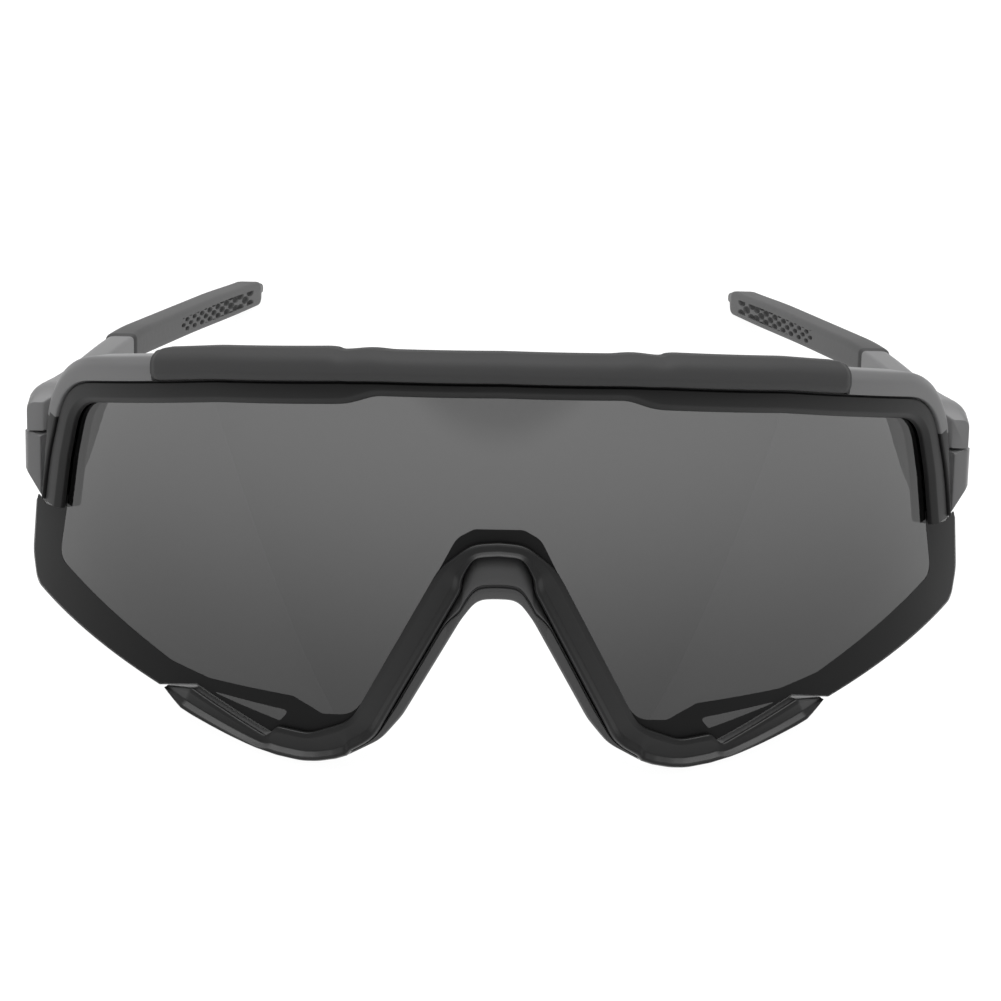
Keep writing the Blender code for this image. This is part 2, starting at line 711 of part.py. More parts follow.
def build_sleeve(side):
    rings = []
    places = [COLLAR_Y, COLLAR_Y + 0.7, 76, 84, 92, 100, 108, 116, 124, 130, 134, 137, 139.5,
              141.3, 142.7, TIP_Y]
    for y in places:
        end = ease(y, 137.5, TIP_Y)
        start = 0.35 * (1 - ease(y, COLLAR_Y, COLLAR_Y + 0.7))
        x_out = outer_x(y) + 0.25 - start - 1.3 * end
        x_in = outer_x(y) - ARM_T - 0.2 + start + 1.2 * end
        low = sleeve_low(y) + start + 1.6 * end
        high = sleeve_top(y) - start - 1.0 * end
        rings.append(ring_box(y, x_in, x_out, low, high, 1.2 - 0.5 * start - 0.4 * end))
    obj = arm_mesh(loft(rings), "temple_sleeve", side,
                   soft_black(side_name("sleeve_rubber", side)))
    hinge = Vector((side * HINGE_X, HINGE_Y, 0.0))
    channel = core_shape(62.0, 132.5, GAP)
    boolean(obj, cutter(channel, side_name("cut_channel", side), hinge, side < 0, PIVOT[side]))
    boolean(obj, cutter(slab(-90, 90, -10, 130, -60, 0), side_name("cut_tip_foot", side)))
    return obj


# ---- assembly -----------------------------------------------------------
build_lens()
build_frame_front()
build_brow_pad()
build_lower_rim()
build_nose_pad()
for hand in (1, -1):
    build_endpiece(hand)
    build_dowel(hand)
    build_bracket(hand)
    build_screw(hand)
    build_washer("hinge_washer_lower", hand, 2.0)
    build_washer("hinge_washer_upper", hand, 4.5)
    build_eye(hand)
    build_temple(hand)
    build_core(hand)
    build_sleeve(hand)
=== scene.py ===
import bpy
import bmesh
import json
from math import sin, cos, pi, radians, atan2, sqrt
from mathutils import Vector, Matrix


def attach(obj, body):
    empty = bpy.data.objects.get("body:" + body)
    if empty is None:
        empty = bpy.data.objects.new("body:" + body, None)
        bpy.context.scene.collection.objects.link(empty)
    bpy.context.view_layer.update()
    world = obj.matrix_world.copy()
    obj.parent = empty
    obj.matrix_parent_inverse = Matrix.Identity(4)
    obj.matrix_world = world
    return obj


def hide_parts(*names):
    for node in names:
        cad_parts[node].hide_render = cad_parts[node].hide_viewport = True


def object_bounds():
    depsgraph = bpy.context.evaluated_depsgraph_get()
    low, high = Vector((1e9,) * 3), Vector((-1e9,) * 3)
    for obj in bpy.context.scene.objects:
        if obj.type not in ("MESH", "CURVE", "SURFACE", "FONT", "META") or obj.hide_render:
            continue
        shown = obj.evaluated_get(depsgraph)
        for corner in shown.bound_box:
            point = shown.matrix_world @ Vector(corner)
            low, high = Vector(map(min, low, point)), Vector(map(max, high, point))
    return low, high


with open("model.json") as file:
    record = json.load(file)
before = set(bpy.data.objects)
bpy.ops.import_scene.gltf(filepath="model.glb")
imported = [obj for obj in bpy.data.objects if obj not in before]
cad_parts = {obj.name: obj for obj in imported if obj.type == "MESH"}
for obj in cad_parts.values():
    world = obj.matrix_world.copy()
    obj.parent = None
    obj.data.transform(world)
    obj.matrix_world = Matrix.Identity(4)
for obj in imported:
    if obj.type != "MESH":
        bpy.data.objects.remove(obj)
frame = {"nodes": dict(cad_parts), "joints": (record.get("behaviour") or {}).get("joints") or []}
START_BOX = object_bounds()

# ---- the wearer's frame, in millimetres, and how it sits in the row frame ----
FACE_R = 85.5
LENS_T = 1.6
GRIP = 1.5
HINGE_X = 68.3
HINGE_Y = 38.0
HINGE_MID_Z = 3.4
KNUCKLE_R = 4.0
BLOCK_TOP = 8.4
BLOCK_LOW = -2.4
COLLAR_Y = 70.0
TIP_Y = 143.5
ARM_T = 4.8
TOE = 0.225
PAD_HALF = 52.4
GAP = 0.3

hinge = [j for j in frame["joints"] if j["name"] == "left_arm_hinge"][0]
axis = Vector(hinge["axis"])
STANCE = atan2(axis.y, axis.z)
TO_ROW = (Matrix.Translation(Vector(hinge["pos_m"])) @ Matrix.Rotation(-STANCE, 4, "X")
          @ Matrix.Scale(0.001, 4) @ Matrix.Translation((-HINGE_X, -HINGE_Y, -HINGE_MID_Z)))


# ---- materials ----
def nodes_of(name):
    mat = bpy.data.materials.new(name)
    mat.use_nodes = True
    tree = mat.node_tree
    return mat, tree, tree.nodes["Principled BSDF"]


def moulded(name, grey, rough, grain=0.0, scale=900.0, spec=0.5, sheen=0.0):
    """Moulded plastic or rubber with a fine grain and slightly uneven gloss."""
    mat, tree, shader = nodes_of(name)
    shader.inputs["Base Color"].default_value = (grey, grey, grey * 1.01, 1.0)
    shader.inputs["Specular IOR Level"].default_value = spec
    shader.inputs["Sheen Weight"].default_value = sheen
    place = tree.nodes.new("ShaderNodeTexCoord")
    noise = tree.nodes.new("ShaderNodeTexNoise")
    noise.inputs["Scale"].default_value = scale
    noise.inputs["Detail"].default_value = 3.0
    tree.links.new(place.outputs["Object"], noise.inputs["Vector"])
    bump = tree.nodes.new("ShaderNodeBump")
    bump.inputs["Strength"].default_value = grain
    bump.inputs["Distance"].default_value = 0.0001
    tree.links.new(noise.outputs["Fac"], bump.inputs["Height"])
    tree.links.new(bump.outputs["Normal"], shader.inputs["Normal"])
    wide = tree.nodes.new("ShaderNodeTexNoise")
    wide.inputs["Scale"].default_value = 60.0
    tree.links.new(place.outputs["Object"], wide.inputs["Vector"])
    span = tree.nodes.new("ShaderNodeMapRange")
    span.inputs["To Min"].default_value = rough - 0.04
    span.inputs["To Max"].default_value = rough + 0.04
    tree.links.new(wide.outputs["Fac"], span.inputs["Value"])
    tree.links.new(span.outputs["Result"], shader.inputs["Roughness"])
    return mat


def tinted(name, high, low):
    """Smoke polycarbonate: clear, its base colour darker towards the bottom."""
    mat, tree, shader = nodes_of(name)
    shader.inputs["Roughness"].default_value = 0.0
    shader.inputs["IOR"].default_value = 1.5
    shader.inputs["Transmission Weight"].default_value = 1.0
    place = tree.nodes.new("ShaderNodeTexCoord")
    split = tree.nodes.new("ShaderNodeSeparateXYZ")
    tree.links.new(place.outputs["Object"], split.inputs["Vector"])
    # base colour runs from low at the bottom of the lens to high at the brow
    span = tree.nodes.new("ShaderNodeMapRange")
    span.interpolation_type = "SMOOTHSTEP"
    span.inputs["From Min"].default_value = 0.004
    span.inputs["From Max"].default_value = 0.052
    span.inputs["To Min"].default_value = low
    span.inputs["To Max"].default_value = high
    tree.links.new(split.outputs["Z"], span.inputs["Value"])
    tree.links.new(span.outputs["Result"], shader.inputs["Base Color"])
    return mat


def metal(name, grey, rough):
    mat, tree, shader = nodes_of(name)
    shader.inputs["Base Color"].default_value = (grey, grey, grey, 1.0)
    shader.inputs["Metallic"].default_value = 1.0
    place = tree.nodes.new("ShaderNodeTexCoord")
    noise = tree.nodes.new("ShaderNodeTexNoise")
    noise.inputs["Scale"].default_value = 300.0
    tree.links.new(place.outputs["Object"], noise.inputs["Vector"])
    span = tree.nodes.new("ShaderNodeMapRange")
    span.inputs["To Min"].default_value = rough - 0.05
    span.inputs["To Max"].default_value = rough + 0.05
    tree.links.new(noise.outputs["Fac"], span.inputs["Value"])
    tree.links.new(span.outputs["Result"], shader.inputs["Roughness"])
    return mat


SHELL = moulded("shell_satin", 0.125, 0.45, 0.12)
ARM = moulded("arm_satin", 0.16, 0.48, 0.12)
# Near-black copy of the frame plastic: the lip's own black, darkened further as painted shade on
# the faces that turn forward.
LIP_SHADED = moulded("lip_black_painted_shade", 0.008, 0.42, 0.08, spec=0.3)
RIM = moulded("rim_black", 0.012, 0.34, 0.08, spec=0.4)
PAD = moulded("pad_rubber", 0.030, 0.75, 0.2)
NOSE = moulded("nose_rubber", 0.045, 0.55, 0.15)
SLEEVE = moulded("sleeve_rubber", 0.036, 0.70, 0.2, sheen=0.15)
# Darker, rougher copy of the sleeve rubber: painted shade in the dimple hollows.
DIMPLE_SHADE = moulded("sleeve_dimple_shade", 0.03, 0.8)
LENS = tinted("smoke_lens", 0.112, 0.03)
INK = moulded("border_ink", 0.008, 0.5, 0.0, spec=0.12)
STEEL = metal("steel", 0.55, 0.32)
NYLON = moulded("nylon", 0.7, 0.5, 0.0)


# ---- outlines and sections ----
def ease(value, low, high):
    t = min(1.0, max(0.0, (value - low) / (high - low)))
    return t * t * (3 - 2 * t)


def corner_arc(before, here, after, radius, count):
    """count + 1 points that round one corner."""
    back = before - here
    on = after - here
    turn = pi - back.angle(on, pi)
    reach = radius * abs(sin(turn / 2) / max(cos(turn / 2), 0.05))
    reach = min(reach, 0.49 * back.length, 0.49 * on.length)
    start = here + back.normalized() * reach
    end = here + on.normalized() * reach
    out = []
    for i in range(count + 1):
        t = i / count
        out.append(start.lerp(here, t).lerp(here.lerp(end, t), t))
    return out


def rounded(points, count=10):
    """Open outline from (x, y, radius) corners."""
    spots = [Vector(p[:2]) for p in points]
    out = [spots[0]]
    for i in range(1, len(points) - 1):
        if points[i][2] > 0:
            out += corner_arc(spots[i - 1], spots[i], spots[i + 1], points[i][2], count)
        else:
            out.append(spots[i])
    out.append(spots[-1])
    return out


def closed(corners, count=4):
    """Closed section from (x, y, radius) corners, always the same number of points."""
    spots = [Vector(c[:2]) for c in corners]
    out = []
    n = len(corners)
    for i in range(n):
        out += corner_arc(spots[i - 1], spots[i], spots[(i + 1) % n], corners[i][2], count)
    return out


def resample(path, count):
    steps = [(b - a).length for a, b in zip(path, path[1:])]
    total = sum(steps)
    out = []
    k = 0
    done = 0.0
    for i in range(count):
        want = total * i / (count - 1)
        while k < len(steps) - 1 and want > done + steps[k]:
            done += steps[k]
            k += 1
        out.append(path[k].lerp(path[k + 1], min(1.0, (want - done) / steps[k])))
    return out


def soften(path, rounds):
    """Eases small kinks out of an outline, ends kept."""
    for _ in range(rounds):
        path = ([path[0]] + [(a + b * 2 + c) / 4 for a, b, c in zip(path, path[1:], path[2:])]
                + [path[-1]])
    return path


def smooth_path(corners, count):
    """Evenly spaced points along a rounded outline, its small kinks eased."""
    return resample(soften(resample(rounded(corners), 240), 6), count)


def wrap(s, d, z):
    """A place round the face, behind the lens's front, and up."""
    angle = s / FACE_R
    radius = FACE_R - d
    return Vector((radius * sin(angle), FACE_R - radius * cos(angle), z))


def mirrored(half):
    """Full outline from a half that starts on the middle line."""
    return [Vector((-p.x, p.y)) for p in reversed(half[1:])] + half


def through_middle(half):
    """Full outline from a half that ends on the middle line."""
    return half + [Vector((-p.x, p.y)) for p in reversed(half[:-1])]


# ---- building pieces ----
def piece(bm, name, mats, body, node=None, mirror=False, sharp=38.0):
    bmesh.ops.recalc_face_normals(bm, faces=bm.faces)
    if bm.calc_volume(signed=True) < 0:
        bmesh.ops.reverse_faces(bm, faces=bm.faces)
    if mirror:
        for v in bm.verts:
            v.co.x = -v.co.x
        bmesh.ops.reverse_faces(bm, faces=bm.faces)
    for v in bm.verts:
        v.co = TO_ROW @ v.co
        v.co.y = max(v.co.y, START_BOX[0][1])
        v.co.z = max(v.co.z, START_BOX[0][2])
    mesh = bpy.data.meshes.new(name)
    bm.to_mesh(mesh)
    bm.free()
    for mat in mats:
        mesh.materials.append(mat)
    mesh.shade_smooth()
    mesh.set_sharp_from_angle(angle=radians(sharp))
    obj = bpy.data.objects.new(name, mesh)
    bpy.context.scene.collection.objects.link(obj)
    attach(obj, body)
    if node:
        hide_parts(node)
    return obj


def loft(rings, paint=None):
    """Closed body through equal rings; paint(i) gives the material of strip i round them."""
    bm = bmesh.new()
    loops = [[bm.verts.new(p) for p in ring] for ring in rings]
    size = len(loops[0])
    for a, b in zip(loops, loops[1:]):
        for i in range(size):
            j = (i + 1) % size
            face = bm.faces.new((a[i], a[j], b[j], b[i]))
            if paint:
                face.material_index = paint(i)
    for loop in (loops[0], loops[-1]):
        face = bm.faces.new(loop)
        if paint:
            face.material_index = paint(-1)
    return bm


def sweep(path, section, paint=None):
    rings = []
    for i, p in enumerate(path):
        a = path[max(i - 1, 0)]
        b = path[min(i + 1, len(path) - 1)]
        run = (b - a).normalized()
        out = Vector((-run.y, run.x))
        rings.append([wrap(p.x + w * out.x, d, p.y + w * out.y) for w, d in section(p.x, p.y)])
    return loft(rings, paint)


def fill_flat(splines, name):
    """Flat filled outline with holes, as a bmesh in (round the face, 0, up)."""
    curve = bpy.data.curves.new(name, "CURVE")
    curve.dimensions = "2D"
    curve.fill_mode = "BOTH"
    for points in splines:
        spline = curve.splines.new("POLY")
        spline.points.add(len(points) - 1)
        for point, p in zip(spline.points, points):
            point.co = (p[0], p[1], 0.0, 1.0)
        spline.use_cyclic_u = True
    temp = bpy.data.objects.new(name, curve)
    bpy.context.scene.collection.objects.link(temp)
    mesh = bpy.data.meshes.new_from_object(temp)
    bm = bmesh.new()
    bm.from_mesh(mesh)
    bpy.data.objects.remove(temp)
    bpy.data.curves.remove(curve)
    bpy.data.meshes.remove(mesh)
    for v in bm.verts:
        v.co = Vector((v.co.x, 0.0, v.co.y))
    return bm


def bend_round(bm, depth, thick, step):
    """Slices a flat outline, gives it thickness and wraps it round the face."""
    bmesh.ops.remove_doubles(bm, verts=bm.verts, dist=0.01)
    bmesh.ops.dissolve_limit(bm, angle_limit=0.001, verts=bm.verts, edges=bm.edges)
    low = min(v.co.x for v in bm.verts)
    high = max(v.co.x for v in bm.verts)
    x = low + step
    while x < high:
        bmesh.ops.bisect_plane(bm, geom=bm.verts[:] + bm.edges[:] + bm.faces[:],
                               plane_co=(x, 0, 0), plane_no=(1, 0, 0), dist=0.004)
        x += step
    grown = bmesh.ops.extrude_face_region(bm, geom=bm.faces[:])
    back = [g for g in grown["geom"] if isinstance(g, bmesh.types.BMVert)]
    bmesh.ops.translate(bm, verts=back, vec=(0, thick, 0))
    for v in bm.verts:
        v.co = wrap(v.co.x, v.co.y + depth, v.co.z)
    return bm


# ---- lens and its printed border ----
TOP_EDGE = [(0.0, 22.7, 0), (18.0, 22.4, 6), (22.0, 21.0, 6), (42.0, 19.6, 0),
            (71.2, 16.0, 11)]
LENS_HALF = TOP_EDGE + [
    (74.6, 6.0, 0), (76.6, -2.75, 0.8), (81.5, -2.75, 0.5), (84.8, -2.7, 0.8), (86.4, -11.5, 6),
    (85.0, -16.2, 3), (53.4, -26.1, 0.4), (46.4, -24.9, 0.5), (33.6, -30.36, 3),
    (27.0, -31.0, 6), (19.8, -28.2, 7), (6.9, -4.0, 5), (3.6, -0.75, 4), (0.0, -0.5, 0)]


def build_lens():
    half = rounded(LENS_HALF)
    outline = mirrored(half)[:-1]
    bm = bend_round(fill_flat([outline], "lens_flat"), 0.0, LENS_T, 1.0)
    lens = piece(bm, "shield_lens", [LENS], "front", "lens", sharp=50.0)
    edge = lens.modifiers.new("edge", "BEVEL")
    edge.limit_method = "ANGLE"
    edge.angle_limit = radians(60)
    edge.width = 0.0004
    edge.segments = 2
    edge.harden_normals = True
    return lens


BORDER_OUT = [(0.0, -0.4, 0), (3.6, -0.6, 4), (6.8, -3.9, 5), (19.7, -28.0, 7),
              (27.0, -30.8, 6), (33.5, -30.1, 3), (46.2, -24.7, 0.5), (53.3, -25.85, 0.4),
              (84.6, -15.9, 3), (85.8, -11.5, 6), (84.2, -1.7, 0.8), (81.4, -3.1, 0.5),
              (77.0, -3.1, 0.8), (76.0, -0.5, 0)]
BORDER_IN = [(74.4, -0.5, 0), (77.2, -10.6, 2.5), (51.0, -21.9, 4), (44.0, -23.5, 3),
             (30.0, -24.3, 2), (27.2, -25.6, 2), (25.4, -26.5, 2), (20.9, -26.2, 4),
             (17.6, -21.8, 3), (6.0, 0.8, 3.5), (3.5, 2.2, 2), (0.0, 2.2, 0)]
WINDOW = [(44.3, -25.3, 0.2), (30.5, -26.6, 0.7), (32.1, -28.3, 0.4)]


def build_border():
    right = rounded(BORDER_OUT) + rounded(BORDER_IN)
    outline = right + [Vector((-p.x, p.y)) for p in reversed(right[1:-1])]
    window = closed(WINDOW)
    other = [Vector((-p.x, p.y)) for p in window]
    bm = fill_flat([outline, window, other], "border_flat")
    bm = bend_round(bm, -0.05, 0.03, 1.0)
    return piece(bm, "lens_border_print", [INK], "front")


# ---- front bar and brow pad ----
BAR_HALF = TOP_EDGE + [(74.6, 6.0, 0), (76.5, -2.2, 0)]
SIDE_FROM_Z = 12.0


def seam_at(s, z):
    down = ease(SIDE_FROM_Z - z, 0.0, SIDE_FROM_Z)
    return 0.5 + 1.2 * ease(abs(s), 17.0, 23.0) + 0.5 * down


def pad_top(s):
    return 4.9 + 1.6 * ease(abs(s), 15.0, 25.0)


def bar_section(s, z):
    covered = abs(s) < PAD_HALF + 0.15
    down = ease(SIDE_FROM_Z - z, 0.0, SIDE_FROM_Z)
    seam = seam_at(s, z)
    top = 5.4 - 2.5 * down
    face = -2.1
    if covered:
        top = pad_top(s) - 1.9
        face = -0.9
    rise = top - seam
    return closed([
        (-GRIP, -0.25, 0.05), (-GRIP, -1.15, 0.45), (-GRIP + 0.85, -1.75, 0.6),
        (seam - 0.16, -1.7, 0.15), (seam - 0.12, -1.0, 0.05), (seam + 0.12, -1.0, 0.05),
        (seam + 0.16, face, 0.25), (seam + 0.62 * rise, face, 1.6), (top, -0.9, 1.4),
        (top, 3.2, 0.6), (top - 0.5, 3.75, 0.5), (-0.9, 3.75, 0.5), (-GRIP, 3.1, 0.4),
        (-GRIP, LENS_T + 0.25, 0.05), (0.25, LENS_T + 0.25, 0.05), (0.25, -0.25, 0.05)], 3)


def bar_path():
    half = smooth_path(BAR_HALF, 150)
    edge = PAD_HALF + 0.15
    out = []
    for a, b in zip(half, half[1:]):
        out.append(a)
        if a.x < edge < b.x:
            t = (edge - a.x) / (b.x - a.x)
            out.append(a.lerp(b, t - 0.01))
            out.append(a.lerp(b, t + 0.01))
    out.append(half[-1])
    return mirrored(out)


def build_bar():
    # Painted shade: strips 20 to 43 (shoulders and top) keep the shell grey, and every other
    # strip takes the near-black lip material.
    def paint(i):
        return 0 if 20 <= i < 44 else 1
    bm = sweep(bar_path(), bar_section, paint)
    bm.normal_update()
    outward = 1.0 if bm.calc_volume(signed=True) > 0 else -1.0
    # Painted shade: below SIDE_FROM_Z, every face that turns forward also takes the near-black
    # lip material.
    for face in bm.faces:
        if face.calc_center_median().z < SIDE_FROM_Z and face.normal.y * outward < -0.2:
            face.material_index = 1
    return piece(bm, "front_bar", [SHELL, LIP_SHADED], "front", "frame_front")


def pad_section(s, z):
    seam = seam_at(s, z)
    fade = ease(abs(s), PAD_HALF - 1.6, PAD_HALF)
    top = pad_top(s) - 0.3 * fade
    face = -3.2 + 0.7 * fade
    low = seam + 0.35
    return closed([
        (low, -1.15, 0.1), (low, face + 0.7, 0.6), (low + 0.9, face, 1.4),
        (top - 1.0, face + 0.4, 2.4), (top, -0.6, 1.5), (top, 1.6, 0.5),
        (top - 0.5, 2.1, 0.3), (pad_top(s) - 1.65, 2.1, 0.1),
        (pad_top(s) - 1.65, -1.15, 0.1)], 5)


def build_brow_pad():
    full = smooth_path(BAR_HALF, 150)
    half = [p for p in full if p.x < PAD_HALF - 1.8]
    last = half[-1]
    after = [p for p in full if p.x > PAD_HALF][0]
    for i in range(9):
        reach = PAD_HALF - 1.6 * (1 - i / 8)
        half.append(last.lerp(after, (reach - last.x) / (after.x - last.x)))
    bm = sweep(mirrored(half), pad_section)
    return piece(bm, "brow_cushion", [PAD], "front", "brow_pad")


# ---- lower rim ----
RIM_HALF = [(51.2, -22.86, 0), (33.6, -30.36, 3), (27.0, -31.0, 6), (19.8, -28.2, 7),
            (6.9, -4.0, 5), (3.6, -0.75, 4), (0.0, -0.5, 0)]
# how far the rim stands out from the lens edge, by distance round the face
RIM_REACH = [(18.2, 2.75), (19.2, 2.8), (20.7, 2.55), (21.6, 2.55), (22.3, 3.05), (23.9, 3.05),
             (27.0, 2.6), (31.6, 2.6), (33.6, 2.4), (35.5, 2.73), (38.5, 3.16), (41.5, 3.5),
             (44.5, 3.8), (47.5, 3.94), (51.2, 3.95)]


def level(x, stops):
    """Straight-line reading between (place, value) stops."""
    for (a, low), (b, high) in zip(stops, stops[1:]):
        if x < b:
            return low + (high - low) * max(0.0, x - a) / (b - a)
    return stops[-1][1]


def rim_reach(s, z):
    return level(abs(s), RIM_REACH) - 1.75 * ease(z, -5.8, -0.9)


def rim_section(s, z):
    """Gutter beside the lens, crest near the outer edge, vent slit outboard, thin tip."""
    arch = ease(z, -6.5, -0.8)
    free = ease(abs(s), 32.0, 34.2)
    tip = min(1.0, max(0.0, (abs(s) - 46.4) / 4.8))
    top = rim_reach(s, z)
    inner = -GRIP + 0.6 * arch + 1.95 * free + 3.23 * tip
    floor = max(0.25, inner + 0.1)
    crest = -2.0 + 0.4 * arch
    wide = top - inner
    lip = min(1.0, 0.3 * wide)
    flat = 1.0 - 0.42 * tip
    shape = [
        (inner, -0.25, 0.05), (inner, -0.85, 0.25), (top - 0.8 * wide, -1.0, 0.5),
        (top - 1.4 * lip, -1.15, 0.4), (top - 0.75 * lip, crest + 0.2, 0.3),
        (top - 0.3 * lip, crest - 0.05, 0.2), (top, crest + 0.6, 0.3), (top, 2.5, 0.7),
        (top - 0.16 * wide, 3.25, 0.6), (top - 0.85 * wide, 3.25, 0.5), (inner, 2.6, 0.4),
        (inner, LENS_T + 0.25, 0.05), (floor, LENS_T + 0.25, 0.05), (floor, -0.25, 0.05)]
    return closed([(w, 3.3 - (3.3 - d) * flat, r) for w, d, r in shape], 3)


def build_rim():
    bm = sweep(through_middle(smooth_path(RIM_HALF, 200)), rim_section)
    return piece(bm, "rim_lower", [RIM], "front", "lower_rim")


# ---- nose pad ----
NOSE_NOTCH = [(21.2, -32.1, 0), (16.4, -29.4, 4), (13.4, -25.75, 5), (5.2, -11.2, 4),
              (2.9, -8.1, 4), (0.0, -8.04, 0)]


def nose_arch():
    """Rim side of the nose pad: the rim's own outer edge, a hair's gap away."""
    full = smooth_path(RIM_HALF, 200)
    half = [p for p in full if p.x < 22.3]
    ends = [half[0] * 2 - half[1]] + half + [Vector((-half[-2].x, half[-2].y))]
    out = []
    for before, p, after in zip(ends, half, ends[2:]):
        run = (after - before).normalized()
        out.append(p + Vector((-run.y, run.x)) * (rim_reach(p.x, p.y) + 0.05))
    return out


def nose_section(z):
    """Nose pad section: (0 rim side to 1 notch, reach back behind the rim, depth)."""
    arch = ease(z, -12.0, -5.0)
    foot = ease(-z, 18.0, 26.0)
    back = 11.0 - 5.5 * foot - 2.0 * arch
    flare = 2.4 * (1.0 - foot) * (1.0 - arch)
    g = 0.16 + 0.5 * arch
    return [
        (0.0, 0.0, 3.6), (0.0, 0.0, 0.3), (g * 0.12, 0.0, -0.15), (g * 0.35, 0.0, -0.6),
        (g * 0.6, 0.0, -0.95), (g * 0.8, 0.0, -1.1), (g * 0.93, 0.0, -1.05),
        (g * 0.98, 0.0, -0.5), (g + 0.03, 0.0, -0.5), (g + 0.05, 0.0, -0.95),
        (g + 0.1, 0.0, -1.05), (0.85, 0.0, -0.95), (0.95, 0.0, -0.6), (1.0, 0.0, 0.2),
        (0.96, 0.0, 3.0), (0.9, flare, back - 0.7), (0.75, flare, back),
        (0.1, flare, back - 0.4), (0.0, 0.9, 4.7), (0.0, 0.9, 3.6)]


def build_nose_pad():
    outer = resample(nose_arch(), 90)
    inner = resample(soften(resample(rounded(NOSE_NOTCH), 120), 8), 90)
    outer = through_middle(outer)
    inner = through_middle(inner)
    rings = []
    for i, (a, b) in enumerate(zip(outer, inner)):
        run = (outer[min(i + 1, len(outer) - 1)] - outer[max(i - 1, 0)]).normalized()
        way = Vector((-run.y, run.x))
        ring = []
        for w, tuck, d in nose_section(a.y):
            p = a + (b - a) * w - way * tuck
            ring.append(wrap(p.x, d, p.y))
        rings.append(ring)
    return piece(loft(rings), "nose_saddle", [NOSE], "front", "nose_pad")


# ---- endpieces ----
WALL_ANGLE = 79.5 / FACE_R


def wall_point(d, out=0.0):
    radius = FACE_R - d
    spot = Vector((radius * sin(WALL_ANGLE), FACE_R - radius * cos(WALL_ANGLE)))
    return spot + Vector((cos(WALL_ANGLE), sin(WALL_ANGLE))) * out


def slab(x0, x1, y0, y1, z0, z1):
    bm = bmesh.new()
    bmesh.ops.create_cube(bm, size=1.0)
    for v in bm.verts:
        v.co = Vector((x0 + (v.co.x + 0.5) * (x1 - x0), y0 + (v.co.y + 0.5) * (y1 - y0),
                       z0 + (v.co.z + 0.5) * (z1 - z0)))
    return bm


def cut_with(obj, bm, mirror):
    """Cuts a scratch shape out of a piece and throws the scratch away."""
    bmesh.ops.recalc_face_normals(bm, faces=bm.faces)
    if mirror:
        for v in bm.verts:
            v.co.x = -v.co.x
        bmesh.ops.reverse_faces(bm, faces=bm.faces)
    for v in bm.verts:
        v.co = TO_ROW @ v.co
    mesh = bpy.data.meshes.new("scratch")
    bm.to_mesh(mesh)
    bm.free()
    tool = bpy.data.objects.new("scratch", mesh)
    bpy.context.scene.collection.objects.link(tool)
    mod = obj.modifiers.new("cut", "BOOLEAN")
    mod.object = tool
    mod.solver = "EXACT"
    fresh = bpy.data.meshes.new_from_object(
        obj.evaluated_get(bpy.context.evaluated_depsgraph_get()))
    obj.modifiers.remove(mod)
    old = obj.data
    obj.data = fresh
    bpy.data.meshes.remove(old)
    bpy.data.objects.remove(tool)
    obj.data.shade_smooth()
    obj.data.set_sharp_from_angle(angle=radians(38.0))


def build_endpiece(side):
    front = wall_point(-1.6, GAP)
    back = wall_point(3.4, GAP)
    plan = [(front.x, front.y, 0.3), (72.2, front.y + 0.9, 1.0), (72.8, 36.0, 1.5),
            (71.5, 42.0, 0.2)]
    outline = closed(plan + [(HINGE_X, HINGE_Y + KNUCKLE_R, 0.1)], 5)
    for i in range(1, 13):
        turn = radians(90 + i * 7.5)
        outline.append(Vector((HINGE_X + KNUCKLE_R * cos(turn), HINGE_Y + KNUCKLE_R * sin(turn))))
    outline.append(back)
    bm = bmesh.new()
    face = bm.faces.new([bm.verts.new((p.x, p.y, BLOCK_LOW)) for p in outline])
    grown = bmesh.ops.extrude_face_region(bm, geom=[face])
    tops = [g for g in grown["geom"] if isinstance(g, bmesh.types.BMVert)]
    bmesh.ops.translate(bm, verts=tops, vec=(0, 0, BLOCK_TOP - BLOCK_LOW))
    cuts = [(Vector((72.9, 36.0, 2.9)), Vector((0.85, -0.12, -0.52)).normalized()),
            (Vector((72.4, 33.4, 8.0)), Vector((-0.2, -0.75, 1.0)).normalized())]
    for spot, way in cuts:
        cut = bmesh.ops.bisect_plane(bm, geom=bm.verts[:] + bm.edges[:] + bm.faces[:],
                                     plane_co=spot, plane_no=way, clear_outer=True)
        rim = [g for g in cut["geom_cut"] if isinstance(g, bmesh.types.BMEdge)]
        bmesh.ops.edgenet_fill(bm, edges=rim)
    name = "left" if side > 0 else "right"
    obj = piece(bm, "end_block_" + name, [SHELL], "front", "endpiece_" + name,
                side < 0)
    cut_with(obj, slab(58, 70.9, 34.9, 46, 1.2, 5.6), side < 0)
    edge = obj.modifiers.new("edge", "BEVEL")
    edge.limit_method = "ANGLE"
    edge.angle_limit = radians(38)
    edge.width = 0.00025
    edge.segments = 3
    edge.harden_normals = True
    return obj


# ---- arms ----
def outer_x(y):
    return 72.9 - TOE * max(0.0, y - 34.5)


def arm_top(y):
    high = 15.4 + 3.1 * ease(y, 40.0, 80.0) - 0.4 * ease(y, 115.0, 140.0)
    if y < 40.0:
        fall = min(1.0, (40.0 - y) / 7.8)
        high = BLOCK_TOP + GAP + (high - BLOCK_TOP - GAP) * sqrt(max(0.02, 1 - fall * fall))
    return high


def arm_low(y):
    return -1.9 + 16.2 * ease(y, 41.0, 70.0)


def box_ring(y, x_in, x_out, low, high, r, crown=None, count=6):
    crown = r if crown is None else crown
    shape = closed([(x_in, low, r), (x_out, low, r), (x_out, high, crown), (x_in, high, r)],
                   count)
    return [Vector((p.x, y, p.y)) for p in shape]


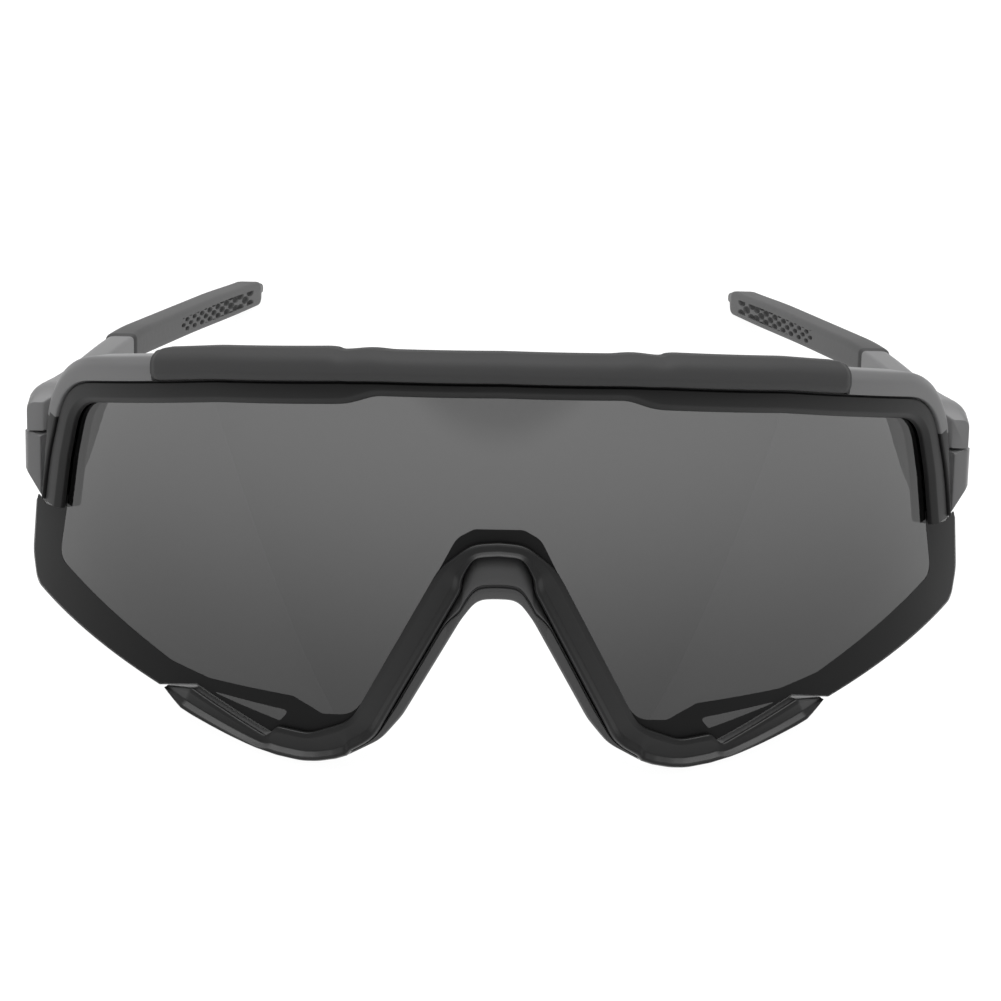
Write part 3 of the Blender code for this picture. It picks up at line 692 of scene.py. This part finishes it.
def build_temple(side):
    rings = []
    front = wall_point(-1.0, GAP + 0.1)
    wall = HINGE_Y + 4.4
    y = front.y
    while y < wall - 0.05:
        line = wall_point(-1.0 + (y - front.y) / 0.61, GAP + 0.1)
        x_in = min(max(line.x, 66.2), front.x)
        blunt = 0.8 * (1 - ease(y, front.y - 0.6, front.y + 3.5))
        rings.append(box_ring(y, x_in, outer_x(y) - blunt, BLOCK_TOP + GAP, arm_top(y), 0.35,
                              2.6))
        y += 0.6 if y > front.y + 2 else 0.25
    y = wall
    rings.append(box_ring(y - 0.03, 66.2, outer_x(y), BLOCK_TOP + GAP, arm_top(y), 0.35, 2.6))
    while y < COLLAR_Y - GAP:
        thin = ARM_T + 0.7 * (1 - ease(y, 42.0, 60.0))
        crown = 2.5 - 0.9 * ease(y, 45.0, 69.0)
        rings.append(box_ring(y, outer_x(y) - thin, outer_x(y), arm_low(y), arm_top(y),
                              0.8, crown))
        y += 1.0
    y = COLLAR_Y - GAP
    rings.append(box_ring(y, outer_x(y) - ARM_T, outer_x(y), arm_low(y), arm_top(y), 0.8, 1.6))
    name = "left" if side > 0 else "right"
    return piece(loft(rings), "arm_" + name, [ARM], "arm_" + name, "temple_" + name,
                 side < 0)


def sleeve_top(y):
    return arm_top(y) + 0.25


def sleeve_low(y):
    return 14.05 - 0.3 * ease(y, 95.0, 130.0)


def dimple_centres():
    """(along the sleeve, part of the way up its side, half length, half height)."""
    out = []
    y = 94.0
    odd = False
    while y < 133.0:
        grow = ease(y, 92.0, 138.0)
        levels = (0.32, 0.66) if odd else (0.16, 0.49, 0.82)
        if grow > 0.82:
            levels = (0.5,) if odd else (0.28, 0.72)
        for part in levels:
            out.append((y, part, 0.9 + 1.1 * grow, 0.36 + 0.36 * grow))
        y += 1.9 + 1.2 * grow
        odd = not odd
    return out


DIMPLES = dimple_centres()
SIDE_STEPS = 36


def dimple_depth(y, part_up, height):
    """How deep the sleeve is dimpled at a place: y along it, part_up 0 to 1 up its side."""
    deep = 0.0
    for centre, part, long, tall in DIMPLES:
        if abs(y - centre) < long:
            away = ((y - centre) / long) ** 2 + ((part_up - part) * height / tall) ** 2
            if away < 1.0:
                deep = max(deep, 0.5 * sqrt(1.0 - away))
    return deep


def build_sleeve(side):
    rings = []
    painted_shade_rows = []
    y = COLLAR_Y
    while y <= TIP_Y + 0.001:
        end = ease(y, 137.5, TIP_Y)
        start = 0.35 * (1 - ease(y, COLLAR_Y, COLLAR_Y + 0.7))
        x_out = outer_x(y) + 0.25 - start - 1.3 * end
        x_in = outer_x(y) - ARM_T - 0.2 + start + 1.2 * end
        low = sleeve_low(y) + start + 1.6 * end
        high = sleeve_top(y) - start - 1.0 * end
        r = 1.1 - 0.3 * end
        shape = closed([(x_in, low, r), (x_out, low, r), (x_out, high, 1.5 - 0.5 * end),
                        (x_in, high, r)], 5)
        top_in = shape[-1]
        low_in = shape[0]
        ring = [Vector((p.x, y, p.y)) for p in shape]
        painted_shade_row = [False] * len(shape)
        for i in range(1, SIDE_STEPS):
            p = top_in.lerp(low_in, i / SIDE_STEPS)
            deep = dimple_depth(y, (p.y - low) / (high - low), high - low)
            ring.append(Vector((p.x + deep, y, p.y)))
            # Painted shade: dimple faces deeper than 0.12 are marked for the darker dimple
            # material.
            painted_shade_row.append(deep > 0.12)
        rings.append(ring)
        painted_shade_rows.append(painted_shade_row)
        y += 0.25
    bm = bmesh.new()
    loops = [[bm.verts.new(p) for p in ring] for ring in rings]
    size = len(loops[0])
    for k in range(len(loops) - 1):
        for i in range(size):
            j = (i + 1) % size
            face = bm.faces.new((loops[k][i], loops[k][j], loops[k + 1][j], loops[k + 1][i]))
            # faces marked on both rings take the darker dimple material as painted shade
            face.material_index = 1 if painted_shade_rows[k][i] and painted_shade_rows[k + 1][j] else 0
    bm.faces.new(loops[0])
    bm.faces.new(loops[-1])
    name = "left" if side > 0 else "right"
    return piece(bm, "grip_sleeve_" + name, [SLEEVE, DIMPLE_SHADE], "arm_" + name,
                 "temple_sleeve_" + name, side < 0)


# ---- assembly ----
build_lens()
build_border()
build_bar()
build_brow_pad()
build_rim()
build_nose_pad()
for hand in (1, -1):
    build_endpiece(hand)
    build_temple(hand)
    build_sleeve(hand)

for name, node in frame["nodes"].items():
    if name.startswith("hinge_washer"):
        fresh = NYLON
    elif name.startswith(("hinge_", "endpiece_dowel", "temple_core")):
        fresh = STEEL
    else:
        continue
    node.data.materials.clear()
    node.data.materials.append(fresh)

# ---- floor, light, camera ----
world = bpy.data.worlds.new("studio")
bpy.context.scene.world = world
world.use_nodes = True
sky = world.node_tree
place = sky.nodes.new("ShaderNodeTexCoord")
split = sky.nodes.new("ShaderNodeSeparateXYZ")
sky.links.new(place.outputs["Generated"], split.inputs["Vector"])
ramp = sky.nodes.new("ShaderNodeValToRGB")
sky.links.new(split.outputs["Z"], ramp.inputs["Fac"])
SKY_STOPS = [(0.0, 1.0), (0.150, 1.0), (0.162, 0.2), (0.55, 0.25), (0.8, 0.9), (1.0, 1.3)]
while len(ramp.color_ramp.elements) < len(SKY_STOPS):
    ramp.color_ramp.elements.new(0.5)
for element, (height, bright) in zip(ramp.color_ramp.elements, SKY_STOPS):
    element.position = height
    element.color = (bright, bright, bright, 1.0)
sky.links.new(ramp.outputs["Color"], sky.nodes["Background"].inputs["Color"])
sky.nodes["Background"].inputs["Strength"].default_value = 1.0

floor_mesh = bpy.data.meshes.new("floor")
floor_bm = bmesh.new()
bmesh.ops.create_grid(floor_bm, x_segments=1, y_segments=1, size=3.0)
floor_bm.to_mesh(floor_mesh)
floor_bm.free()
floor = bpy.data.objects.new("floor", floor_mesh)
bpy.context.scene.collection.objects.link(floor)
pale, tree, shader = nodes_of("floor_pale")
shader.inputs["Base Color"].default_value = (0.14, 0.14, 0.14, 1)
shader.inputs["Roughness"].default_value = 0.9
shader.inputs["Specular IOR Level"].default_value = 0.1
shader.inputs["Emission Color"].default_value = (1, 1, 1, 1)
shader.inputs["Emission Strength"].default_value = 0.97
floor_mesh.materials.append(pale)

lamp_data = bpy.data.lights.new("softbox", "AREA")
lamp_data.shape = "RECTANGLE"
lamp_data.size = 1.2
lamp_data.size_y = 0.9
lamp_data.energy = 8.5
lamp = bpy.data.objects.new("softbox", lamp_data)
bpy.context.scene.collection.objects.link(lamp)
lamp.location = (0.0, 0.15, 0.9)
lamp.rotation_euler = (0.0, 0.0, 0.0)

ELEVATION = radians(12.09)
YAW = radians(-0.65)
ROLL = radians(1.23)
DISTANCE = 418.3
FOCAL = 98.65
LOOK_AT = Vector((0.46, 30.0, 0.0))
ahead = Vector((0, cos(ELEVATION), -sin(ELEVATION)))
right = Vector((1, 0, 0))
up = right.cross(ahead)
turn = Matrix.Rotation(YAW, 3, "Z")
ahead, right, up = turn @ ahead, turn @ right, turn @ up
right, up = cos(ROLL) * right + sin(ROLL) * up, cos(ROLL) * up - sin(ROLL) * right
eye = LOOK_AT - ahead * DISTANCE
cam_data = bpy.data.cameras.new("camera")
cam = bpy.data.objects.new("camera", cam_data)
bpy.context.scene.collection.objects.link(cam)
spin = TO_ROW.to_3x3().normalized()
basis = Matrix((spin @ right, spin @ up, -(spin @ ahead))).transposed()
cam.matrix_world = Matrix.Translation(TO_ROW @ eye) @ basis.to_4x4()
cam_data.sensor_width = 36.0
cam_data.lens = FOCAL
cam_data.clip_start = 0.01
bpy.context.scene.camera = cam
bpy.context.scene.view_settings.view_transform = "Standard"
bpy.context.scene.view_settings.look = "None"
